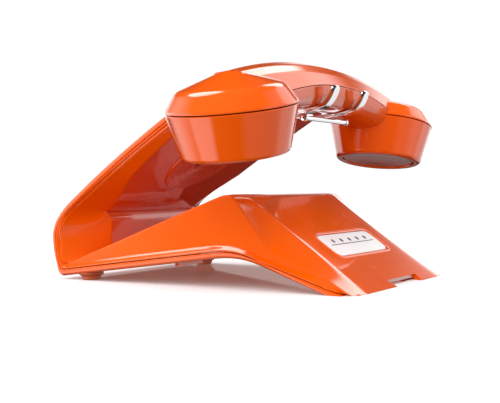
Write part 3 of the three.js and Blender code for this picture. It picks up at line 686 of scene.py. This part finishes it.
def marking(name, text, x, y):
    """A key's character as a thin plate just above its dish."""
    curve = bpy.data.curves.new(name, "FONT")
    curve.body = text
    curve.size = 0.0066
    curve.align_x = "CENTER"
    curve.align_y = "CENTER"
    curve.extrude = 0.00006
    text_piece = bpy.data.objects.new(name + "_text", curve)
    scene.collection.objects.link(text_piece)
    bpy.context.view_layer.update()
    mesh = bpy.data.meshes.new_from_object(text_piece)
    bpy.data.objects.remove(text_piece)
    count = len(mesh.vertices)
    flat = np.zeros(count * 3, np.float32)
    mesh.vertices.foreach_get("co", flat)
    points = flat.reshape(-1, 3).astype(float) * 1000
    points[:, 2] += 2.46
    points = on_dial(points, x, y)
    points[:, 1] -= CENTRE_Y
    mesh.vertices.foreach_set("co", (points / 1000).astype(np.float32).ravel())
    return finish_mesh(name, mesh, 30)


def display_lens():
    """The domed window over the display."""
    profile = rounded([(0, -1.0), (15.5, -1.0), (15.5, 1.3), (14.4, 1.62), (0, 1.9)], [0, 0.2, 0.35, 0.6, 0], 6)
    return even_shading(build("display_lens", [on_dial(lathe(profile, 72))], 60))


# ---- Small pieces of the base ----
def foot(side):
    """A turned foot with a rounded rim and a dished middle."""
    profile = rounded([(0, 0.25), (3.2, 0.25), (3.6, 0), (4.3, 0), (4.7, 1.9), (6.0, 2.4), (6.0, 5.0), (4.4, 5.4), (0, 5.4)],
                      [0, 0.2, 0.2, 0.5, 0.5, 0.5, 0.3, 0.3, 0], 4)
    piece = build("foot_left" if side < 0 else "foot_right", [lathe(profile, 56) + np.array([51 * side, 27.5, 0])], 50)
    return even_shading(piece)


def plate():
    """The name plate: a rounded rectangle with a softly rounded rim."""
    grid = slab(box_outline(29, 7.35, 4.5, 12), -1.1, 0.1, 0.3)
    return even_shading(build("plate", [on_slope(grid, 0, PLATE_Y)], 50))


def plate_rim():
    """A low round bead about the plate: an ellipse carried round a rounded rectangle."""
    outline = box_outline(30.2, 8.5, 5.4, 12)
    reach = np.abs(outline).max(0)
    rows = [np.concatenate([outline * (1 + 0.8 * np.cos(a) / reach), np.full((len(outline), 1), 0.45 * np.sin(a))], 1)
            for a in np.linspace(0, 2 * np.pi, 17)]
    return even_shading(build("plate_rim", [on_slope(np.array(rows), 0, PLATE_Y)], 60))


def plate_mark(name, outline, x, y):
    """A thin raised mark on the plate."""
    grid = slab(outline, 0.1, 0.19, 0.02) + np.array([x, y, 0])
    return build(name, [on_slope(grid, 0, PLATE_Y)], 50)


# ---- Shared effects: node groups that put out masks, values and normals ----
def group(name, inputs, outputs):
    """A shader node group with the named float inputs and the named outputs."""
    tree = bpy.data.node_groups.new(name, "ShaderNodeTree")
    for label, start in inputs:
        tree.interface.new_socket(label, in_out="INPUT", socket_type="NodeSocketFloat").default_value = start
    for label, kind in outputs:
        tree.interface.new_socket(label, in_out="OUTPUT", socket_type=kind)
    return tree, tree.nodes.new("NodeGroupInput"), tree.nodes.new("NodeGroupOutput")


def node(tree, kind, **values):
    """A node with its properties and numbered or named inputs set."""
    made = tree.nodes.new(kind)
    for key, value in values.items():
        if hasattr(made, key):
            setattr(made, key, value)
        else:
            made.inputs[key.replace("_", " ")].default_value = value
    return made


def skin_waves():
    """Moulded skin: a fine orange-peel grain, as a normal."""
    tree, start, end = group("moulded skin", [("Scale", 900.0), ("Depth", 0.05)], [("Normal", "NodeSocketVector")])
    place = node(tree, "ShaderNodeTexCoord")
    fine = node(tree, "ShaderNodeTexNoise", Detail=2.0, Roughness=0.5)
    bump = node(tree, "ShaderNodeBump", Distance=0.0002)
    link = tree.links.new
    link(place.outputs["Object"], fine.inputs["Vector"])
    link(start.outputs["Scale"], fine.inputs["Scale"])
    link(start.outputs["Depth"], bump.inputs["Strength"])
    link(fine.outputs["Fac"], bump.inputs["Height"])
    link(bump.outputs["Normal"], end.inputs["Normal"])
    return tree


def drift():
    """A slow change over the surface, from Low to High."""
    tree, start, end = group("drift", [("Scale", 20.0), ("Low", 0.0), ("High", 1.0)], [("Value", "NodeSocketFloat")])
    place = node(tree, "ShaderNodeTexCoord")
    noise = node(tree, "ShaderNodeTexNoise", Detail=4.0, Roughness=0.55)
    spread = node(tree, "ShaderNodeMapRange")
    spread.inputs["From Min"].default_value = 0.3
    spread.inputs["From Max"].default_value = 0.7
    link = tree.links.new
    link(place.outputs["Object"], noise.inputs["Vector"])
    link(start.outputs["Scale"], noise.inputs["Scale"])
    link(noise.outputs["Fac"], spread.inputs["Value"])
    link(start.outputs["Low"], spread.inputs["To Min"])
    link(start.outputs["High"], spread.inputs["To Max"])
    link(spread.outputs["Result"], end.inputs["Value"])
    return tree


def specks():
    """Sparse fine specks, as a mask."""
    tree, start, end = group("specks", [("Scale", 1500.0), ("Amount", 0.1)], [("Mask", "NodeSocketFloat")])
    place = node(tree, "ShaderNodeTexCoord")
    cells = node(tree, "ShaderNodeTexVoronoi")
    edge = node(tree, "ShaderNodeMath", operation="LESS_THAN")
    link = tree.links.new
    link(place.outputs["Object"], cells.inputs["Vector"])
    link(start.outputs["Scale"], cells.inputs["Scale"])
    link(cells.outputs["Distance"], edge.inputs[0])
    link(start.outputs["Amount"], edge.inputs[1])
    link(edge.outputs["Value"], end.inputs["Mask"])
    return tree


SKIN, DRIFT, SPECKS = skin_waves(), drift(), specks()


def placed(tree, effect, **values):
    """One of the shared effects in a material, with its own values."""
    made = tree.nodes.new("ShaderNodeGroup")
    made.node_tree = effect
    for key, value in values.items():
        made.inputs[key].default_value = value
    return made


def colour(r, g, b):
    """A colour from sRGB parts of 255, as linear RGBA."""
    s = np.array([r, g, b]) / 255
    return tuple(np.where(s <= 0.04045, s / 12.92, ((s + 0.055) / 1.055) ** 2.4)) + (1.0,)


def finish(name, low, high, rough, drift_scale=25.0, grain=900.0, depth=0.05, **socket_values):
    """A material whose colour drifts from low to high and whose roughness drifts over its own range."""
    made = bpy.data.materials.new(name)
    made.use_nodes = True
    tree = made.node_tree
    shader = tree.nodes["Principled BSDF"]
    for key, value in socket_values.items():
        shader.inputs[key.replace("_", " ")].default_value = value
    tone = placed(tree, DRIFT, Scale=drift_scale)
    blend = node(tree, "ShaderNodeMix", data_type="RGBA")
    blend.inputs["A"].default_value = blend.inputs[6].default_value = low
    blend.inputs[7].default_value = high
    touch = placed(tree, DRIFT, Scale=drift_scale * 3.1, Low=rough[0], High=rough[1])
    skin = placed(tree, SKIN, Scale=grain, Depth=depth)
    link = tree.links.new
    link(tone.outputs["Value"], blend.inputs["Factor"])
    link(blend.outputs[2], shader.inputs["Base Color"])
    link(touch.outputs["Value"], shader.inputs["Roughness"])
    link(skin.outputs["Normal"], shader.inputs["Normal"])
    return made


def dusted(made, tone, scale, amount):
    """Adds sparse specks of another tone to a finish."""
    tree = made.node_tree
    shader = tree.nodes["Principled BSDF"]
    under = shader.inputs["Base Color"].links[0].from_socket
    mask = placed(tree, SPECKS, Scale=scale, Amount=amount)
    over = node(tree, "ShaderNodeMix", data_type="RGBA")
    over.inputs[7].default_value = tone
    link = tree.links.new
    link(mask.outputs["Mask"], over.inputs["Factor"])
    link(under, over.inputs[6])
    link(over.outputs[2], shader.inputs["Base Color"])
    return made


ORANGE = dict(Coat_Weight=1.0, Coat_Roughness=0.02, Coat_IOR=1.5, Specular_IOR_Level=0.1)
orange_gloss = finish("orange gloss", colour(232, 84, 0), colour(240, 92, 2), (0.2, 0.28), grain=700.0, depth=0.012, **ORANGE)
orange_disc = finish("orange turned face", colour(232, 84, 0), colour(240, 92, 2), (0.22, 0.3), grain=700.0, depth=0.02, **ORANGE)
foot_rubber = dusted(finish("foot rubber", colour(176, 66, 22), colour(190, 78, 30), (0.45, 0.6), grain=2500.0, depth=0.2),
                     colour(150, 52, 18), 2600.0, 0.16)
chrome = finish("polished chrome", colour(240, 240, 242), colour(250, 250, 250), (0.08, 0.16), drift_scale=60.0, grain=400.0,
                depth=0.01, Metallic=1.0)
silver = finish("satin silver", colour(238, 238, 239), colour(246, 246, 246), (0.28, 0.38), drift_scale=40.0, grain=1800.0,
                depth=0.06, Metallic=0.1)
engraved = finish("engraved mark", colour(40, 36, 36), colour(60, 54, 54), (0.35, 0.5), grain=2000.0, depth=0.1)
dark_gloss = finish("dark gloss", colour(24, 25, 28), colour(32, 33, 36), (0.1, 0.18), grain=800.0, depth=0.02,
                    Coat_Weight=0.6, Coat_Roughness=0.03)
key_white = dusted(finish("key ivory", colour(236, 232, 222), colour(244, 241, 233), (0.2, 0.3), grain=1500.0, depth=0.03),
                   colour(226, 220, 206), 3000.0, 0.08)
ink = finish("key ink", colour(28, 28, 30), colour(42, 42, 45), (0.4, 0.5), grain=2000.0, depth=0.05)
display_glass = finish("display glass", colour(20, 26, 30), colour(30, 38, 42), (0.02, 0.06), grain=500.0, depth=0.005,
                       Coat_Weight=1.0, Coat_Roughness=0.02)
black_plastic = dusted(finish("black plastic", colour(26, 26, 28), colour(36, 36, 38), (0.4, 0.55), grain=3000.0, depth=0.2),
                       colour(60, 60, 62), 2800.0, 0.1)
silicone = finish("silicone", colour(188, 192, 194), colour(204, 206, 208), (0.6, 0.75), grain=2500.0, depth=0.15)
circuit_board = dusted(finish("circuit board", colour(18, 84, 48), colour(30, 108, 60), (0.35, 0.5), grain=1200.0, depth=0.1),
                       colour(200, 170, 90), 900.0, 0.22)
steel = finish("plated steel", colour(150, 153, 156), colour(176, 178, 180), (0.28, 0.42), grain=1600.0, depth=0.1, Metallic=0.9)
gold = finish("gold contact", colour(222, 176, 76), colour(236, 194, 98), (0.12, 0.24), grain=1400.0, depth=0.04, Metallic=1.0)


# ---- Putting the object together ----
def stands_for(piece, material, body, nodes):
    """Gives a new piece its finish and its body, and hides the CAD nodes that it stands for."""
    piece.data.materials.clear()
    piece.data.materials.append(material)
    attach(piece, body)
    if nodes:
        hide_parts(*nodes)
    return piece


stands_for(outer_skin(), orange_gloss, "base", ["outer_shell"])
stands_for(inner_shell(), orange_gloss, "base", ["inner_shell"])
stands_for(belly_disc(), orange_disc, "base", ["dial_housing_cap"])
for side, word in ((-1, "left"), (1, "right")):
    stands_for(foot(side), foot_rubber, "base", [f"front_foot_{word}"])
    stands_for(strap(side), chrome, "base", [f"cradle_hook_{word}"])
    stands_for(pin(side), gold, f"charge_pin_{word}", [f"charge_pin_{word}"])
stands_for(cross_rod(), chrome, "base", ["cradle_rod"])
stands_for(plate(), silver, "base", ["name_plate"])
for i in range(5):
    dot = np.stack([np.cos(np.arange(24) * np.pi / 12), np.sin(np.arange(24) * np.pi / 12)], 1) * 1.25
    stands_for(plate_mark(f"plate_dot_{i + 1}", dot, -18 + 9 * i, -2.6), engraved, "base", [])
stands_for(plate_rim(), orange_gloss, "base", [])
stands_for(plate_mark("plate_line", box_outline(24, 0.22, 0.2), 0, 0.0), engraved, "base", [])
stands_for(dial_rim(), chrome, "base", ["dial_ring"])
stands_for(dial_face(), dark_gloss, "base", ["dial_plate"])
stands_for(display_lens(), display_glass, "base", ["display_window"])
for name, x, y, r, text in key_places():
    stands_for(key_cap(name, x, y, r), key_white, name, [name])
    if text:
        stands_for(marking(name + "_mark", text, x, y), ink, name, [])
stands_for(handset_upper(), orange_gloss, "handset", ["handset_upper"])
stands_for(handset_lower(), orange_gloss, "handset", ["handset_lower"])
stands_for(sound_cover(-1, 6), orange_gloss, "handset", ["earpiece_cover"])
stands_for(sound_cover(1, 3), orange_gloss, "handset", ["mouthpiece_cover"])

KEPT = {
    foot_rubber: ("rear_pad_left", "rear_pad_right"),
    black_plastic: ("display_module", "loudspeaker", "line_socket", "power_socket", "receiver", "microphone"),
    silicone: ("key_mat",),
    circuit_board: ("main_board", "line_board", "handset_board"),
    steel: ("ballast_plate", "base_screw_1", "base_screw_2", "base_screw_3", "base_screw_4"),
    silver: ("battery_cell",),
    gold: ("contact_pad_left", "contact_pad_right"),
}
for material, names in KEPT.items():
    for name in names:
        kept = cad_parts[name]
        for slot in kept.material_slots:
            slot.material = material


# ---- Stage: floor, lights and camera ----
# Each panel of light: its direction, the cosines where it begins and is full, and its level.
GLOSS_PANELS = (
    ((0.08, -0.50, 0.86), 0.94, 0.97, 9.0),
    ((-0.73, -0.05, 0.68), 0.975, 0.988, 4.0),
    ((0.26, -0.97, 0.0), 0.72, 0.96, 1.9),
    ((-0.80, 0.36, 0.48), 0.93, 0.975, 1.6),
    ((-0.45, 0.80, 0.25), 0.72, 0.92, 0.8),
    ((0.0, 0.95, -0.45), 0.75, 0.95, 0.5),
    ((0.72, -0.48, -0.50), 0.90, 0.96, 2.4),
    ((-0.82, -0.50, -0.30), 0.955, 0.985, 0.2),
    ((-0.1, -0.2, -0.97), 0.88, 0.96, 0.6),
    ((-0.87, 0.38, -0.30), 0.84, 0.95, 0.9),
)
SOFT_PANELS = (
    ((0.0, 0.0, 1.0), 0.0, 1.0, 1.1),
    ((0.85, -0.45, 0.25), -0.1, 1.0, 1.7),
    ((0.1, 0.95, 0.3), 0.0, 1.0, 0.6),
)
BACK_BAND = (0.14, 0.26, 1.3)
BACK_BAND_HEIGHT = 0.12
GLOSS_FLOOR, SOFT_FLOOR = 0.01, 0.08
FLOOR_MIRROR = 0.18


def studio_floor():
    """A wide pale floor just under the feet with a faint mirror in it."""
    mesh = bpy.data.meshes.new("floor")
    mesh.from_pydata([(-6, -6, -0.0001), (6, -6, -0.0001), (6, 6, -0.0001), (-6, 6, -0.0001)], [], [(0, 1, 2, 3)])
    floor = bpy.data.objects.new("floor", mesh)
    scene.collection.objects.link(floor)
    pale = finish("studio floor", colour(253, 252, 253), colour(255, 254, 255), (0.9, 0.95), drift_scale=2.0, grain=40.0,
                  depth=0.0, Specular_IOR_Level=0.0)
    tree = pale.node_tree
    glow = node(tree, "ShaderNodeEmission", Strength=0.05)
    mirror = node(tree, "ShaderNodeBsdfGlossy", Roughness=0.06)
    both = node(tree, "ShaderNodeAddShader")
    faint = node(tree, "ShaderNodeMixShader", Fac=FLOOR_MIRROR)
    link = tree.links.new
    link(tree.nodes["Principled BSDF"].outputs["BSDF"], both.inputs[0])
    link(glow.outputs["Emission"], both.inputs[1])
    link(both.outputs["Shader"], faint.inputs[1])
    link(mirror.outputs["BSDF"], faint.inputs[2])
    link(faint.outputs["Shader"], tree.nodes["Material Output"].inputs["Surface"])
    mesh.materials.append(pale)
    floor.visible_glossy = False
    floor.visible_diffuse = False


def softbox(name, place, target, size, power):
    """An area light at a place, facing a target."""
    lamp = bpy.data.lights.new(name, "AREA")
    lamp.shape = "RECTANGLE"
    lamp.size, lamp.size_y = size
    lamp.energy = power
    light = bpy.data.objects.new(name, lamp)
    scene.collection.objects.link(light)
    aim(light, place, target)


def aim(thing, place, target):
    """Puts a light or camera at a place with its -z towards the target and its y up."""
    back = np.array(place, float) - np.array(target, float)
    back /= np.linalg.norm(back)
    right = np.cross((0, 0, 1), back) if abs(back[2]) < 0.999 else np.array([1.0, 0, 0])
    right /= np.linalg.norm(right)
    up = np.cross(back, right)
    turn = np.eye(4)
    turn[:3, 0], turn[:3, 1], turn[:3, 2], turn[:3, 3] = right, up, back, place
    thing.matrix_world = Matrix(turn.tolist())


def studio_air():
    """White for the camera. Mirrored rays see a few pale panels in the dark, and scattered light is soft and broad."""
    world = bpy.data.worlds.new("studio")
    scene.world = world
    world.use_nodes = True
    tree = world.node_tree
    tree.nodes.clear()
    link = tree.links.new
    place = tree.nodes.new("ShaderNodeTexCoord").outputs["Generated"]

    def sum_of(values):
        total = values[0]
        for value in values[1:]:
            add = node(tree, "ShaderNodeMath", operation="ADD")
            link(total, add.inputs[0])
            link(value, add.inputs[1])
            total = add.outputs["Value"]
        return total

    def panel(direction, begin, full, level):
        away = np.array(direction) / np.linalg.norm(direction)
        dot = node(tree, "ShaderNodeVectorMath", operation="DOT_PRODUCT")
        dot.inputs[1].default_value = away
        link(place, dot.inputs[0])
        return spread(dot.outputs["Value"], begin, full, 0.0, level)

    def spread(value, begin, full, low, high):
        made = node(tree, "ShaderNodeMapRange", interpolation_type="SMOOTHSTEP")
        for label, number in zip(("From Min", "From Max", "To Min", "To Max"), (begin, full, low, high)):
            made.inputs[label].default_value = number
        link(value, made.inputs["Value"])
        return made.outputs["Result"]

    def background(value):
        made = tree.nodes.new("ShaderNodeBackground")
        made.inputs["Color"].default_value = (1, 1, 1, 1)
        link(value, made.inputs["Strength"])
        return made.outputs["Background"]

    parts = tree.nodes.new("ShaderNodeSeparateXYZ")
    link(place, parts.inputs["Vector"])
    above = node(tree, "ShaderNodeMath", operation="SUBTRACT")
    above.inputs[1].default_value = BACK_BAND_HEIGHT
    link(parts.outputs["Z"], above.inputs[0])
    height = node(tree, "ShaderNodeMath", operation="ABSOLUTE")
    link(above.outputs["Value"], height.inputs[0])
    low = spread(height.outputs["Value"], BACK_BAND[0], BACK_BAND[1], BACK_BAND[2], 0.0)
    behind = spread(parts.outputs["X"], 0.15, -0.5, 0.0, 1.0)
    leftward = spread(parts.outputs["Y"], 0.45, 0.2, 0.0, 1.0)
    reach = node(tree, "ShaderNodeMath", operation="MULTIPLY")
    link(behind, reach.inputs[0])
    link(leftward, reach.inputs[1])
    band = node(tree, "ShaderNodeMath", operation="MULTIPLY")
    link(low, band.inputs[0])
    link(reach.outputs["Value"], band.inputs[1])
    dim = node(tree, "ShaderNodeValue")
    dim.outputs[0].default_value = GLOSS_FLOOR
    faint = node(tree, "ShaderNodeValue")
    faint.outputs[0].default_value = SOFT_FLOOR
    gloss = background(sum_of([dim.outputs[0], band.outputs["Value"]] + [panel(*p) for p in GLOSS_PANELS]))
    scattered = background(sum_of([faint.outputs[0]] + [panel(*p) for p in SOFT_PANELS]))
    white = tree.nodes.new("ShaderNodeBackground")
    white.inputs["Color"].default_value = (1, 1, 1, 1)
    white.inputs["Strength"].default_value = 1.05
    path = tree.nodes.new("ShaderNodeLightPath")
    mirrored, seen = tree.nodes.new("ShaderNodeMixShader"), tree.nodes.new("ShaderNodeMixShader")
    link(path.outputs["Is Glossy Ray"], mirrored.inputs["Fac"])
    link(scattered, mirrored.inputs[1])
    link(gloss, mirrored.inputs[2])
    link(path.outputs["Is Camera Ray"], seen.inputs["Fac"])
    link(mirrored.outputs["Shader"], seen.inputs[1])
    link(white.outputs["Background"], seen.inputs[2])
    link(seen.outputs["Shader"], tree.nodes.new("ShaderNodeOutputWorld").inputs["Surface"])


def camera():
    """The camera, level and a little below the handset's height."""
    lens = bpy.data.cameras.new("camera")
    lens.sensor_width = 36.0
    lens.lens = 71.98
    lens.clip_start, lens.clip_end = 0.01, 20
    eye = bpy.data.objects.new("camera", lens)
    scene.collection.objects.link(eye)
    yaw, pitch = np.radians(29.32), np.radians(-1.22)
    place = np.array([0.4309, 0.2400, 0.0474])
    look = np.array([-np.cos(yaw) * np.cos(pitch), -np.sin(yaw) * np.cos(pitch), np.sin(pitch)])
    aim(eye, place, place + look)
    scene.camera = eye


studio_floor()
studio_air()
camera()
scene.view_settings.view_transform = "Standard"
